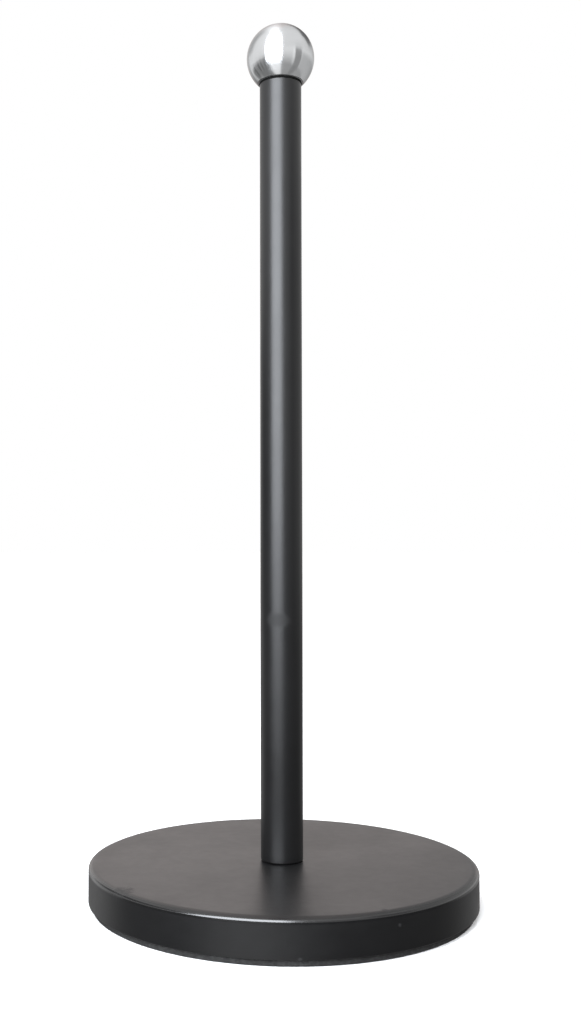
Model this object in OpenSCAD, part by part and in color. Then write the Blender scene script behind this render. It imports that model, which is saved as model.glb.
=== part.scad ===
// Upright paper towel holder: a weighted round base, a tube post bolted to it from below, and a ball
// finial that unscrews from the post.
// Millimetres, +Z up, origin at the middle of the foot pad's underside, the post on the Z axis.

/* [Overall] */
// Outside diameter of the base
base_d = 146; // [125:1:180]
// Height of the base's top face above the table
base_h = 16; // [14:0.5:24]
// Length of the post's tube
post_len = 296.8; // [220:0.1:360]
// Outside diameter of the post's tube
post_d = 16; // [14.5:0.1:22]
// Diameter of the ball finial
ball_d = 26; // [21.5:0.1:34]

/* [Base] */
// Sheet thickness of the drawn base shell
shell_t = 1; // [0.8:0.1:1.5]
// Outside radius of the shell's gentle shoulder, next to the flat top
shoulder_r = 4.6; // [2:0.1:8]
// Slope at which the shoulder meets the corner, in degrees
shoulder_slope = 30; // [15:1:50]
// Outside radius of the shell's corner, between the shoulder and the skirt
corner_r = 1.2; // [1:0.1:3]
// Sheet thickness of the bottom plate
plate_t = 1; // [0.8:0.1:1.5]
// Gap between the bottom plate and the shell's skirt
plate_gap = 0.2; // [0.1:0.05:0.5]
// Bend radius inside the plate's dish
dish_bend_r = 1.5; // [0.5:0.1:2]
// Thickness of the foot pad
pad_t = 3; // [2:0.1:5]
// Height of the pad that is tucked up inside the skirt
pad_tuck = 0.5; // [0.2:0.1:1]
// Gap between the pad and the skirt
pad_gap = 0.5; // [0.1:0.1:1.5]
// Rounding of the pad's lower edges
pad_edge_r = 0.5; // [0.1:0.1:1]
// Diameter of the hole in the middle of the pad
pad_hole_d = 28; // [26.5:0.5:40]
// Gap between the ballast and the skirt
ballast_gap = 9; // [4:0.5:20]
// Chamfer round the ballast
ballast_chamfer = 1.5; // [0.5:0.1:2]

/* [Post] */
// Wall of the tube
post_t = 1; // [0.8:0.1:1.5]
// Chamfer round the tube's ends
post_chamfer = 0.4; // [0.1:0.05:0.6]
// Length of the plug in the foot of the tube
foot_plug_len = 20; // [16:0.5:40]
// Depth of the foot plug's spigot in the base shell
spigot_h = 0.9; // [0.5:0.1:0.9]
// Wall left between the spigot and the tube's bore
spigot_step = 1; // [0.5:0.1:1.4]
// Radial clearance round the spigot
spigot_gap = 0.1; // [0.05:0.05:0.3]
// Length of the plug in the head of the tube
head_plug_len = 14; // [13:0.5:30]
// Depth of the grip grooves round both plugs
groove_depth = 0.3; // [0.1:0.1:0.5]
// Width of the grip grooves
groove_w = 1; // [0.5:0.1:1.5]

/* [Base bolt] */
// Thread diameter of the base bolt
bolt_d = 8; // [6:0.5:9]
// Length of the base bolt under its head
bolt_len = 25; // [22:0.5:32]
// Width of the bolt's head across its flats
bolt_head_af = 13; // [10:0.1:15]
// Height of the bolt's head
bolt_head_h = 5.3; // [4:0.1:6.5]
// Height of the bolt's head above the table
bolt_head_z = 1.2; // [0.5:0.1:1.5]
// Radial clearance of the bolt through the plate and the ballast
bolt_gap = 0.5; // [0.3:0.1:1]
// Outside diameter of the spring lock washer
lock_washer_d = 14.8; // [12:0.1:16]
// Thickness of the spring lock washer
lock_washer_t = 2; // [1.2:0.1:2.2]
// Width of the lock washer's split
lock_washer_split = 1.2; // [0.5:0.1:2]
// Outside diameter of the flat washer
flat_washer_d = 16; // [13:0.1:20]
// Thickness of the flat washer
flat_washer_t = 1.6; // [1:0.1:2]
// Radial clearance of both washers on the bolt
washer_gap = 0.2; // [0.1:0.05:0.4]
// Room round the flat washer for a socket spanner
spanner_room = 3; // [2:0.1:4]
// Clearance between the plate's dish and the ballast
dish_gap = 0.5; // [0.2:0.1:1]

/* [Finial] */
// Wall of the hollow ball
ball_t = 0.9; // [0.6:0.1:1.2]
// Distance that the ball's mouth stands out past the post
mouth_edge = 0.9; // [0.6:0.1:1.4]
// Width of the flat lip round the mouth
mouth_lip = 0.55; // [0.3:0.05:0.8]
// Thickness of the bush's flange, in the mouth
flange_t = 1.5; // [1:0.1:2]
// Diameter of the bush's boss, inside the ball
boss_d = 10; // [8:0.5:12]
// Height of the bush with its boss
boss_h = 9; // [7:0.5:10]
// Thread diameter of the stud
stud_d = 6; // [5:0.5:6.5]
// Pitch of the stud's thread
stud_pitch = 1; // [0.8:0.1:1.2]
// Depth of the stud's thread
thread_depth = 0.6; // [0.4:0.05:0.7]
// Length of the stud inside the bush
stud_in_bush = 7.5; // [5:0.5:8]
// Length of the stud inside the head plug
stud_in_plug = 12; // [8:0.5:12.5]
// Radial running clearance of the stud in the head plug
stud_gap = 0.05; // [0.02:0.01:0.09]
// Thickness of the washer between the ball and the post
finial_washer_t = 0.7; // [0.4:0.1:1.2]
// Distance that the finial washer stands out past the post
finial_washer_edge = 0.2; // [0:0.1:0.4]
// Radial clearance of the finial washer round the stud
finial_washer_gap = 0.25; // [0.1:0.05:0.5]

/* [Hidden] */
$fn = 96;
cut = 1; // how far a cutting shape runs past what it cuts

base_r = base_d / 2;
skirt_r = base_r - shell_t;
skirt_z = pad_t - pad_tuck;
shell_under_z = base_h - shell_t;
least_bend_r = 0.2; // smallest radius inside the shell's bends
plate_top_z = pad_t + plate_t;

post_r = post_d / 2;
bore_r = post_r - post_t;
post_top_z = base_h + post_len;
spigot_r = bore_r - spigot_step;

bolt_r = bolt_d / 2;
head_top_z = bolt_head_z + bolt_head_h;
lock_top_z = head_top_z + lock_washer_t;
dish_under_z = lock_top_z + flat_washer_t;
dish_top_z = dish_under_z + plate_t;
dish_r = flat_washer_d / 2 + spanner_room;

ball_r = ball_d / 2;
mouth_r = post_r + mouth_edge;
mouth_bore_r = mouth_r - mouth_lip;
mouth_z = post_top_z + finial_washer_t;
ball_z = mouth_z + sqrt(pow(ball_r, 2) - pow(mouth_r, 2));

plug_bore_r = stud_d / 2;
stud_r = plug_bore_r - stud_gap;
stud_core_r = stud_r - thread_depth;
stud_bottom_z = post_top_z - stud_in_plug;
stud_top_z = mouth_z + stud_in_bush;

// A flat ring from radius r_in to r_out, standing on z
module ring(r_out, r_in, z, h) {
    translate([0, 0, z]) difference() {
        cylinder(r = r_out, h = h);
        translate([0, 0, -cut]) cylinder(r = r_in, h = h + 2 * cut);
    }
}

// The half outline of a disc of radius r whose top edge, at height z, has radius edge
module rounded_top(r, z, edge) {
    square([r - edge, z]);
    square([r, z - edge]);
    translate([r - edge, z - edge]) intersection() {
        circle(r = edge);
        square(edge);
    }
}

// The half outline of a disc of radius r with its top at height z: a gentle shoulder turns down to the
// slope, and a tight corner from there to the upright side
module shouldered_top(r, z, gentle, tight) {
    shoulder_run = gentle * sin(shoulder_slope);
    corner_run = tight * (1 - sin(shoulder_slope));
    drop = gentle * (1 - cos(shoulder_slope)) + tight * cos(shoulder_slope);
    square([r - shoulder_run - corner_run, z]);
    square([r, z - drop]);
    translate([r - shoulder_run - corner_run, z - gentle]) intersection() {
        circle(r = gentle);
        translate([0, gentle - drop]) square([shoulder_run, drop]);
    }
    translate([r - tight, z - drop]) intersection() {
        circle(r = tight);
        translate([tight - corner_run, 0]) square([corner_run, tight]);
    }
}

// Cuts grip grooves into a plug of radius r, one third and two thirds of the way up it
module grip_grooves(r, z, h) {
    for (part_way = [1 / 3, 2 / 3])
        ring(r + cut, r - groove_depth, z + part_way * h - groove_w / 2, groove_w);
}

// Foam ring glued under the plate: the only piece that touches the table
module anti_slip_pad() {
    pad_r = skirt_r - pad_gap;
    hole_r = pad_hole_d / 2;
    color("#3c3c3c") rotate_extrude() difference() {
        translate([hole_r, 0]) square([pad_r - hole_r, pad_t]);
        translate([pad_r - pad_edge_r, 0]) edge_waste();
        translate([hole_r + pad_edge_r, 0]) mirror([1, 0]) edge_waste();
    }
}

// What rounding the pad's lower edge takes away
module edge_waste() {
    difference() {
        translate([0, -cut]) square([pad_edge_r + cut, pad_edge_r + cut]);
        translate([0, pad_edge_r]) circle(r = pad_edge_r);
    }
}

// Pressed plate that closes the base, with a dish that takes the bolt's head
module bottom_plate() {
    color("#8d9094") difference() {
        rotate_extrude() {
            difference() {
                rounded_top(dish_r + plate_t, dish_top_z, dish_bend_r + plate_t);
                rounded_top(dish_r, dish_under_z, dish_bend_r);
                square([dish_r + plate_t + cut, pad_t]);
            }
            translate([dish_r, pad_t]) square([skirt_r - plate_gap - dish_r, plate_t]);
        }
        cylinder(r = bolt_r + bolt_gap, h = base_h);
    }
}

// Cast disc that gives the base its weight
module ballast() {
    r = skirt_r - ballast_gap;
    bottom = plate_top_z;
    top = shell_under_z;
    color("#4a4a4c") difference() {
        rotate_extrude() polygon([
            [0, bottom],
            [r - ballast_chamfer, bottom],
            [r, bottom + ballast_chamfer],
            [r, top - ballast_chamfer],
            [r - ballast_chamfer, top],
            [0, top]
        ]);
        translate([0, 0, bottom - cut])
            cylinder(r = dish_r + plate_t + dish_gap, h = dish_top_z - bottom + cut);
        cylinder(r = bolt_r + bolt_gap, h = base_h);
    }
}

// Drawn steel lid with a shouldered top edge and an open skirt
module base_shell() {
    inner_shoulder_r = shoulder_r - shell_t;
    inner_corner_r = max(corner_r - shell_t, least_bend_r);
    color("#2b2b2c") difference() {
        rotate_extrude() difference() {
            shouldered_top(base_r, base_h, shoulder_r, corner_r);
            shouldered_top(skirt_r, shell_under_z, inner_shoulder_r, inner_corner_r);
            square([base_r + cut, skirt_z]);
        }
        cylinder(r = spigot_r + spigot_gap, h = base_h + cut);
    }
}

// Tube that the paper roll stands round
module post_tube() {
    color("#262627") difference() {
        rotate_extrude() polygon([
            [0, base_h],
            [post_r - post_chamfer, base_h],
            [post_r, base_h + post_chamfer],
            [post_r, post_top_z - post_chamfer],
            [post_r - post_chamfer, post_top_z],
            [0, post_top_z]
        ]);
        translate([0, 0, base_h - cut]) cylinder(r = bore_r, h = post_len + 2 * cut);
    }
}

// Plug pressed into the foot of the tube: the base bolt screws into it
module foot_plug() {
    color("#a3a6aa") difference() {
        union() {
            translate([0, 0, base_h]) cylinder(r = bore_r, h = foot_plug_len);
            translate([0, 0, base_h - spigot_h]) cylinder(r = spigot_r, h = spigot_h + cut);
        }
        grip_grooves(bore_r, base_h, foot_plug_len);
        translate([0, 0, base_h - spigot_h - cut])
            cylinder(r = bolt_r, h = foot_plug_len + spigot_h + 2 * cut);
    }
}

// Plug pressed into the head of the tube: the finial's stud runs in it
module head_plug() {
    z = post_top_z - head_plug_len;
    color("#a3a6aa") difference() {
        translate([0, 0, z]) cylinder(r = bore_r, h = head_plug_len);
        grip_grooves(bore_r, z, head_plug_len);
        translate([0, 0, z - cut]) cylinder(r = plug_bore_r, h = head_plug_len + 2 * cut);
    }
}

// Hexagon bolt that holds the plate, the ballast, the shell and the post together
module base_bolt() {
    corner_r = bolt_head_af / sqrt(3);
    color("#b4b7ba") {
        translate([0, 0, bolt_head_z]) cylinder(r = corner_r, h = bolt_head_h, $fn = 6);
        translate([0, 0, head_top_z]) cylinder(r = bolt_r, h = bolt_len);
    }
}

// Split spring washer under the bolt's head
module lock_washer() {
    color("#9b9ea2") difference() {
        ring(lock_washer_d / 2, bolt_r + washer_gap, head_top_z, lock_washer_t);
        translate([bolt_r, -lock_washer_split / 2, head_top_z - cut])
            cube([lock_washer_d, lock_washer_split, lock_washer_t + 2 * cut]);
    }
}

// Plain washer between the lock washer and the plate
module flat_washer() {
    color("#b0b3b7") ring(flat_washer_d / 2, bolt_r + washer_gap, lock_top_z, flat_washer_t);
}

// Thin plastic washer that keeps the ball off the post's paint
module finial_washer() {
    color("#101010")
        ring(post_r + finial_washer_edge, stud_r + finial_washer_gap, post_top_z, finial_washer_t);
}

// Hollow ball with its mouth cut flat
module finial_ball() {
    color("#d4d6d8") difference() {
        translate([0, 0, ball_z]) sphere(r = ball_r);
        translate([0, 0, ball_z]) sphere(r = ball_r - ball_t);
        translate([-ball_r, -ball_r, mouth_z - ball_d]) cube([ball_d, ball_d, ball_d]);
        translate([0, 0, mouth_z - cut]) cylinder(r = mouth_bore_r, h = flange_t + cut);
    }
}

// Turned bush that closes the ball's mouth and holds the stud
module finial_bush() {
    color("#a9acb0") difference() {
        union() {
            translate([0, 0, mouth_z]) cylinder(r = mouth_bore_r, h = flange_t);
            translate([0, 0, mouth_z]) cylinder(r = boss_d / 2, h = boss_h);
        }
        translate([0, 0, mouth_z - cut]) cylinder(r = stud_r, h = stud_in_bush + cut);
    }
}

// Threaded stud, its thread drawn as rings
module finial_stud() {
    crest = stud_pitch / 4;
    turns = floor((stud_top_z - stud_bottom_z) / stud_pitch);
    color("#b4b7ba") rotate_extrude() {
        translate([0, stud_bottom_z]) square([stud_core_r, stud_top_z - stud_bottom_z]);
        for (turn = [0:turns - 1]) translate([0, stud_bottom_z + (turn + 0.5) * stud_pitch]) polygon([
            [0, -stud_pitch / 2 + crest / 2],
            [stud_core_r, -stud_pitch / 2 + crest / 2],
            [stud_r, -crest / 2],
            [stud_r, crest / 2],
            [stud_core_r, stud_pitch / 2 - crest / 2],
            [0, stud_pitch / 2 - crest / 2]
        ]);
    }
}

anti_slip_pad();
bottom_plate();
ballast();
base_shell();
post_tube();
foot_plug();
head_plug();
base_bolt();
lock_washer();
flat_washer();
finial_washer();
finial_ball();
finial_bush();
finial_stud();
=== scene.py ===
import math

import bpy
import numpy as np
from bpy.props import FloatProperty, FloatVectorProperty, IntProperty, PointerProperty
from bpy.types import Operator, Panel, PropertyGroup
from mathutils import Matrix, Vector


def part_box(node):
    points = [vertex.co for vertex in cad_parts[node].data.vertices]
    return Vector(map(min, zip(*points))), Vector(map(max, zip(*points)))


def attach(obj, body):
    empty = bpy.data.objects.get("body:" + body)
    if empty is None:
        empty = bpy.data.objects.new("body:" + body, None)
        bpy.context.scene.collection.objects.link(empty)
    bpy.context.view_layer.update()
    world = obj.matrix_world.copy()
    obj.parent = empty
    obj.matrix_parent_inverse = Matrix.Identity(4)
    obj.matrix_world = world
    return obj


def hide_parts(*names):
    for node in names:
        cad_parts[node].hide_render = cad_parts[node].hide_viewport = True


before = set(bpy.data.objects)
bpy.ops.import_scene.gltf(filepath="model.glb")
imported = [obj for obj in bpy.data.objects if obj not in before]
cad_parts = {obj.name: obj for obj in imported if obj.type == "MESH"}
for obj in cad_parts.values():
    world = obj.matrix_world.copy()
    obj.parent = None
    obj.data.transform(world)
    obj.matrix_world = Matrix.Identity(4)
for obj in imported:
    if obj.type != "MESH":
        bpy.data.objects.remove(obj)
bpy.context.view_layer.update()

bl_info = {
    "name": "Paper towel holder",
    "version": (1, 0, 0),
    "blender": (4, 5, 0),
    "location": "3D View > Sidebar > Towel holder",
    "description": "Builds the finished pieces of a weighted paper towel holder round its packed frame",
    "category": "Object",
}

MM = 0.001
TURN = 2 * math.pi
ROWS_PER_PITCH = 8
SAME_HEIGHT = 0.01 * MM


# ---------------------------------------------------------------- sizes read from the frame

def low(node):
    """Lowest height of a node, in metres."""
    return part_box(node)[0][2]


def top(node):
    """Highest height of a node, in metres."""
    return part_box(node)[1][2]


def radius(node):
    """Outside radius of a round node, in metres: half its wider side."""
    lo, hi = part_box(node)
    return max(hi[0] - lo[0], hi[1] - lo[1]) / 2


# ---------------------------------------------------------------- settings

def length(name, description, default, low_end, high_end):
    """A length property given in millimetres."""
    return FloatProperty(
        name=name, description=description, default=default * MM,
        min=low_end * MM, max=high_end * MM, unit="LENGTH", precision=5)


def factor(name, description, default):
    """A property from 0 to 1."""
    return FloatProperty(
        name=name, description=description, default=default, min=0, max=1, subtype="FACTOR")


def colour(name, description, default):
    """A colour property."""
    return FloatVectorProperty(
        name=name, description=description, default=default, min=0, max=1, subtype="COLOR")


def brightness(name, description, default):
    """How bright a part of the studio is, where 1 is plain white."""
    return FloatProperty(name=name, description=description, default=default, min=0, max=10)


def angle(name, description, default, low_end=-math.pi, high_end=math.pi):
    """An angle property in radians."""
    return FloatProperty(
        name=name, description=description, default=default,
        min=low_end, max=high_end, subtype="ANGLE")


class HolderShapes(PropertyGroup):
    """Sizes that the frame's boxes leave open."""

    segments: IntProperty(
        name="Segments", description="Steps round each small piece", default=144, min=24, max=384)
    wide_segments: IntProperty(
        name="Wide segments", description="Steps round the base", default=288, min=48, max=512)
    mesh_step: length("Mesh step", "Longest step along a straight run of a profile", 2.5, 0.5, 20)
    head_step: length("Head step", "Longest step over the bolt's head", 0.4, 0.1, 2)
    shoulder: length("Shoulder radius", "Gentle rounding next to the base's flat top", 4.6, 1, 9)
    corner: length("Corner radius", "Tight rounding between the shoulder and the skirt", 1.2, 1.05, 4)
    shoulder_slope: angle(
        "Shoulder slope", "Slope where the shoulder meets the corner", math.radians(30), 0.2, 0.9)
    least_bend: length("Least bend", "Smallest inside radius of a pressed corner", 0.2, 0.05, 1)
    sheet_edge: length("Sheet edge", "Rounding of cut sheet edges", 0.25, 0.05, 0.4)
    fine_edge: length("Fine edge", "Rounding of small turned and stamped edges", 0.15, 0.02, 0.3)
    pad_edge: length("Pad edge", "Rounding of the foam pad's lower edges", 0.5, 0.1, 1.2)
    pad_shoulder: length("Pad shoulder", "Rounding of the foam pad's upper outside edge", 1.5, 0.1, 2)
    pad_hole: length("Pad hole", "Radius of the hole in the foam pad", 14, 10, 20)
    post_foot: length("Post foot", "Rounding of the tube's lower end", 0.8, 0.1, 0.84)
    post_head: length("Post head", "Rounding of the tube's upper end", 0.2, 0.1, 0.8)
    dish: length("Dish radius", "Inside radius of the bottom plate's dish", 11, 8, 16)
    dish_bend: length("Dish bend", "Inside bend radius of the dish", 1.5, 0.3, 2.5)
    dish_room: length("Dish room", "Gap between the dish and the ballast", 0.5, 0.1, 2)
    cast_edge: length("Cast edge", "Rounding of the ballast's edges", 1.0, 0.2, 1.4)
    bolt: length("Bolt radius", "Radius over the base bolt's thread", 4, 2, 6)
    bolt_room: length("Bolt room", "Gap round the bolt in the plate and the ballast", 0.5, 0.1, 1)
    bolt_pitch: length("Bolt pitch", "Pitch of the base bolt's thread", 1.25, 0.5, 2)
    bolt_thread: length("Bolt thread", "Depth of the base bolt's thread", 0.65, 0.2, 1)
    bolt_chamfer: length("Bolt chamfer", "Height of the chamfer at the bolt's tip", 0.6, 0.1, 2)
    bolt_taper: length("Bolt taper", "How far the chamfer at the bolt's tip goes in", 0.45, 0.1, 2)
    head_face: factor("Head face", "Width of the head's round face over its width between flats", 0.95)
    washer_room: length("Washer room", "Gap between the bolt and its washers", 0.2, 0.05, 0.5)
    washer_split: length("Washer split", "Width of the lock washer's split", 1.2, 0.3, 2)
    stud_pitch: length("Stud pitch", "Pitch of the finial stud's thread", 1, 0.5, 2)
    stud_thread: length("Stud thread", "Depth of the finial stud's thread", 0.6, 0.2, 1)
    stud_chamfer: length("Stud chamfer", "Height of the chamfers at the stud's ends", 0.4, 0.1, 2)
    stud_taper: length("Stud taper", "How far the chamfers at the stud's ends go in", 0.35, 0.1, 2)
    thread_end: length("Thread end", "From a rod's end to where its thread fades out", 0.2, 0.05, 1)
    thread_room: length("Thread room", "Gap between a thread and its nut", 0.08, 0.02, 0.2)
    spigot_step: length("Spigot step", "From the tube's bore in to the foot plug's spigot", 1, 0.2, 3)
    spigot_room: length("Spigot room", "Gap round the spigot in the base shell", 0.1, 0.02, 0.5)
    groove_depth: length("Groove depth", "Depth of the plugs' grip grooves", 0.3, 0.05, 1)
    groove_width: length("Groove width", "Width of the plugs' grip grooves", 1, 0.2, 3)
    ball_wall: length("Ball wall", "Wall of the hollow ball", 0.9, 0.3, 1.5)
    flange: length("Flange", "Thickness of the bush's flange", 1.5, 0.5, 3)
    mouth_rim: angle("Mouth rim", "Turn from the ball's mouth to its first round row", 0.03, 0.01, 0.1)
    boss: length("Boss radius", "Radius of the bush's boss", 5, 3.5, 7)
    loose: length("Washer play", "Gap between the stud and the finial's washer", 0.25, 0.05, 1)


class HolderFinish(PropertyGroup):
    """Colours and gloss of the finishes."""

    paint: colour("Powder coat", "Colour of the black powder coat", (0.0035, 0.0035, 0.0038))
    paint_roughness: factor("Powder coat roughness", "Gloss of the powder coat, from mirror to matt", 0.36)
    dust: colour("Dust", "Colour of the thin dust on faces that look up", (0.2, 0.19, 0.18))
    rubbed: colour("Rubbed paint", "Colour of rubbed spots in the paint", (0.25, 0.25, 0.26))
    chipped: colour("Chipped paint", "Colour of small chips in the paint", (0.3, 0.3, 0.31))
    steel: colour("Stainless", "Colour of the turned ball", (0.67, 0.68, 0.69))
    steel_roughness: factor("Stainless roughness", "Gloss of the turned ball", 0.18)
    zinc: colour("Zinc plating", "Colour of the plated steel pieces", (0.58, 0.6, 0.62))
    iron: colour("Cast iron", "Colour of the ballast", (0.055, 0.052, 0.05))
    foam: colour("Foam", "Colour of the foam pad", (0.014, 0.014, 0.014))
    # The washer's near-black colour is partly painted shade: it stands in for the shadow in the gap between
    # the ball and the tube.
    plastic: colour("Plastic", "Colour of the finial's washer", (0.002, 0.002, 0.002))


class HolderStage(PropertyGroup):
    """Camera, floor and lights."""

    camera_distance: length(
        "Camera distance", "From the post to the camera, along the floor", 466.25, 200, 5000)
    camera_height: length("Camera height", "Height of the camera above the floor", 133.45, 0, 3000)
    camera_aim: angle("Camera aim", "How far left of the post the camera looks", 0.0620)
    camera_tilt: angle("Camera tilt", "How far above level the camera looks", 0.0309)
    lens: FloatProperty(
        name="Lens", description="Focal length for a 36 mm long side", default=42.84, min=10, max=200)
    shift: FloatProperty(
        name="Shift", description="Sideways lens shift that puts the post back in the middle",
        default=0.0828, min=-0.5, max=0.5)
    floor: colour("Floor", "Colour of the floor", (0.92, 0.92, 0.92))
    floor_size: length("Floor size", "Half the side of the square floor", 60000, 1000, 200000)
    floor_glow: factor("Floor glow", "Light that the pale floor gives off", 0.12)
    softbox_power: FloatProperty(
        name="Softbox power", description="Power of the tall softbox, in watts", default=33, min=0, max=500)
    softbox_width: length("Softbox width", "Width of the tall softbox", 740, 100, 3000)
    softbox_height: length("Softbox height", "Height of the tall softbox", 1420, 100, 3000)
    softbox_middle: length("Softbox middle", "Height of the softbox's middle above the floor", 820, 0, 3000)
    softbox_away: length("Softbox distance", "From the post to the softbox", 700, 300, 5000)
    softbox_side: angle(
        "Softbox side", "How far left of the camera's side the softbox stands", math.radians(23))
    softbox_tint: colour("Softbox tint", "Colour of the softbox's light", (0.9, 0.94, 1.0))
    wall_away: length("Wall distance", "From the post to the curved walls", 350, 200, 3000)
    wall_low: length("Wall foot", "Height of the curved walls' lower edge", 95, 0, 1000)
    wall_high: length("Wall top", "Height of the curved walls' upper edge", 450, 100, 3000)
    dome: brightness("Dome", "Brightness of the studio above the table", 1.05)
    below: brightness("Below", "Brightness of the studio just below the table's edge", 0.1)
    deep: brightness("Deep", "Brightness of the studio far below the table", 0.5)


# ---------------------------------------------------------------- meshes

def rounded(corners, steps=8):
    """The profile through corners (r, z, radius), with each corner replaced by its arc.

    A corner with radius q and half angle h between its sides has its arc start q / tan(h) before the
    corner and end as far past it; the points between lie at q from the arc's centre, evenly in angle.
    The list is closed, so the first corner follows the last."""
    pts = np.array([c[:2] for c in corners], float)
    out = []
    for here, before, after, corner in zip(pts, np.roll(pts, 1, 0), np.roll(pts, -1, 0), corners):
        q = corner[2]
        if q == 0:
            out.append(here[None])
            continue
        a = (before - here) / np.linalg.norm(before - here)
        b = (after - here) / np.linalg.norm(after - here)
        half = math.acos(np.clip(a @ b, -1, 1)) / 2
        middle = (a + b) / np.linalg.norm(a + b)
        centre = here + middle * q / math.sin(half)
        start = here + a * q / math.tan(half) - centre
        side = -middle * q - start * (-(middle * q) @ start) / q ** 2
        side = side / np.linalg.norm(side) * q
        t = np.linspace(0, math.pi - 2 * half, steps + 1)[:, None]
        out.append(centre + np.cos(t) * start + np.sin(t) * side)
    return np.concatenate(out)


def shoulder_corners(r, up, shoulder, corner, slope):
    """The two corners of a lid's edge: wall to slope with a tight arc, slope to flat top with a gentle one.

    An arc of radius q that turns by an angle t takes q * tan(t / 2) of each of its two sides, so the
    sloping side is just long enough for both arcs and has no straight part."""
    run = corner * math.tan((math.pi / 2 - slope) / 2) + shoulder * math.tan(slope / 2)
    return [(r, up - run * math.sin(slope), corner), (r - run * math.cos(slope), up, shoulder)]


def stepped(profile, step, closed=True):
    """Adds points along a profile's straight runs so that none is longer than step."""
    ends = np.vstack([profile, profile[:1]]) if closed else profile
    lengths = np.linalg.norm(np.diff(ends, axis=0), axis=1)
    count = np.maximum(1, np.ceil(lengths / step)).astype(int)
    index = np.repeat(np.arange(len(count)), count)
    part = (np.arange(count.sum()) - np.repeat(np.cumsum(count) - count, count)) / count[index]
    points = ends[index] + part[:, None] * (ends[index + 1] - ends[index])
    return points if closed else np.vstack([points, ends[-1:]])


def column(r, start, end, step):
    """Points straight up or down at radius r, about a step apart, for a wall that carries a thread."""
    count = max(2, int(round(abs(end - start) / step)) + 1)
    return np.stack([np.full(count, r), np.linspace(start, end, count)], -1)


def thread_wave(u):
    """A trapezoid wave of period 1: 1 on a crest 1/8 wide at 0.5, 0 in a root 1/4 wide, flanks of 5/16."""
    away = np.abs(u % 1 - 0.5)
    return np.clip((3 / 8 - away) / (5 / 16), 0, 1)


def lathe(name, profile, segments, helix=None, flats=None, gap=0.0, closed=True):
    """A mesh of the profile's points (r, z) turned about Z: (r cos a, r sin a, z) on a grid of a and point.

    The profile runs up the outside, so faces point outwards. closed joins its last point to its first;
    an open one starts and ends on the axis, and those ends become single poles. helix is (pitch,
    depth, lowest, highest, root radius): the radius of the points at the root radius grows by
    depth * thread_wave(z / pitch - a / turn), faded out over a pitch at lowest and at highest.
    flats is (half width, height): below height, the radius is held inside a hexagon. gap is an angle
    left out round +X, whose two ends are closed by flat caps."""
    turn = np.linspace(gap / 2, TURN - gap / 2, segments + (gap > 0), endpoint=gap > 0)
    ring = profile if closed else profile[1:-1]
    grid_r = np.repeat(ring[None, :, 0], len(turn), 0)
    grid_z = np.repeat(ring[None, :, 1], len(turn), 0)
    if helix:
        pitch, depth, lowest, highest, root = helix
        on_root = np.abs(grid_r - root) < 1e-6
        fade = np.clip((grid_z - lowest) / pitch, 0, 1) * np.clip((highest - grid_z) / pitch, 0, 1)
        wave = thread_wave(grid_z / pitch - turn[:, None] / TURN)
        grid_r = grid_r + depth * wave * fade * on_root
    if flats:
        half, height = flats
        hexagon = half / np.cos(turn % (TURN / 6) - TURN / 12)
        grid_r = np.where(grid_z < height, np.minimum(grid_r, hexagon[:, None]), grid_r)
    n_turn, n_row = grid_r.shape
    verts = np.stack([grid_r * np.cos(turn)[:, None], grid_r * np.sin(turn)[:, None], grid_z], -1)
    verts = verts.reshape(-1, 3)
    i = np.arange(n_turn if gap == 0 else n_turn - 1)[:, None]
    j = np.arange(n_row if closed else n_row - 1)[None]
    i2, j2 = (i + 1) % n_turn, (j + 1) % n_row
    quads = np.stack([i * n_row + j, i2 * n_row + j, i2 * n_row + j2, i * n_row + j2], -1)
    faces = quads.reshape(-1, 4).tolist()
    if not closed:
        start, end = len(verts), len(verts) + 1
        verts = np.concatenate([verts, [[0, 0, profile[0, 1]], [0, 0, profile[-1, 1]]]])
        a = np.arange(n_turn)
        b = (a + 1) % n_turn
        first = np.stack([np.full(n_turn, start), b * n_row, a * n_row], -1)
        last = np.stack([np.full(n_turn, end), a * n_row + n_row - 1, b * n_row + n_row - 1], -1)
        faces += first.tolist() + last.tolist()
    if gap > 0:
        faces.append(list(range(n_row))[::-1])
        faces.append(list(range((n_turn - 1) * n_row, n_turn * n_row)))
    mesh = bpy.data.meshes.new(name)
    mesh.from_pydata(verts.tolist(), [], faces)
    mesh.validate()
    mesh.shade_smooth()
    mesh.set_sharp_from_angle(angle=math.radians(32))
    return mesh


def finish_piece(mesh, node, body, material):
    """Places the mesh as the piece that stands for a node, on its body, in its finish."""
    piece = bpy.data.objects.new(node + "_piece", mesh)
    bpy.context.scene.collection.objects.link(piece)
    mesh.materials.append(finish_named(material))
    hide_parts(node)
    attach(piece, body)


# ---------------------------------------------------------------- shader helpers

def node_of(tree, kind, **values):
    """Adds a node and sets its properties, or its inputs where a name starts with in_."""
    node = tree.nodes.new(kind)
    for key, value in values.items():
        if key.startswith("in_"):
            node.inputs[key[3:].replace("_", " ")].default_value = value
        else:
            setattr(node, key, value)
    return node


def feed(tree, socket, value):
    """Links a socket to another, or sets it to a number or a colour."""
    if isinstance(value, bpy.types.NodeSocket):
        tree.links.new(value, socket)
    else:
        socket.default_value = value


def calc(tree, operation, *inputs):
    """A Math node. Returns its output."""
    node = node_of(tree, "ShaderNodeMath", operation=operation)
    for socket, value in zip(node.inputs, inputs):
        feed(tree, socket, value)
    return node.outputs[0]


def ramp(tree, value, low_in, high_in, low_out=0.0, high_out=1.0):
    """A smooth step of value from low_out to high_out. Returns its output."""
    node = node_of(tree, "ShaderNodeMapRange", interpolation_type="SMOOTHSTEP")
    numbers = {
        "Value": value, "From Min": low_in, "From Max": high_in, "To Min": low_out, "To Max": high_out}
    for name, number in numbers.items():
        feed(tree, node.inputs[name], number)
    return node.outputs["Result"]


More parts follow.
